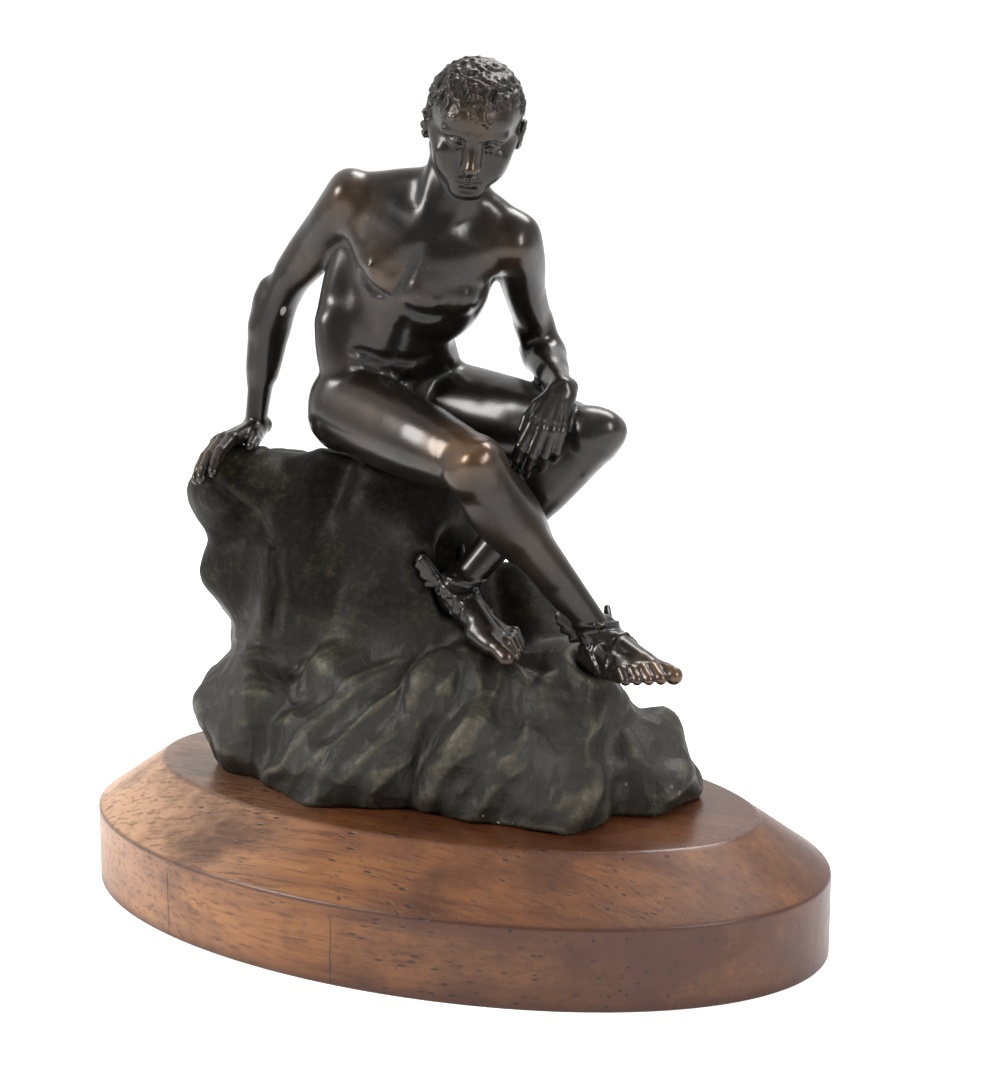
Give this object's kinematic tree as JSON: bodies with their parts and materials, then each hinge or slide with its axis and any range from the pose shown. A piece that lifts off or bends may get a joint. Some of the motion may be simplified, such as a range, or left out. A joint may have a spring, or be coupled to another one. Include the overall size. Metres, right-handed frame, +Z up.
{
  "type": "bronze statuette of a seated winged-sandalled youth",
  "caption": "Seated bronze youth in winged sandals leaning on a rough bronze rock, on a bevelled oval wooden plinth.",
  "frame": {"origin": "middle of the plinth's underside", "axes": "+X along the plinth, from the propping hand to the stretched foot; +Z up; the figure looks towards -Y and a little +X"},
  "size_m": [0.29, 0.176, 0.3094],
  "materials": {
    "bronze": "dark brown lacquered patina, rubbed warm on the high places",
    "rough_bronze": "rough green-black patina with yellow-green bloom",
    "wood": "waxed walnut, pitted and scratched"
  },
  "bodies": {
    "root": {"bronze_figure": "bronze", "bronze_rock": "rough_bronze", "oval_plinth": "wood"}
  },
  "joints": []
}
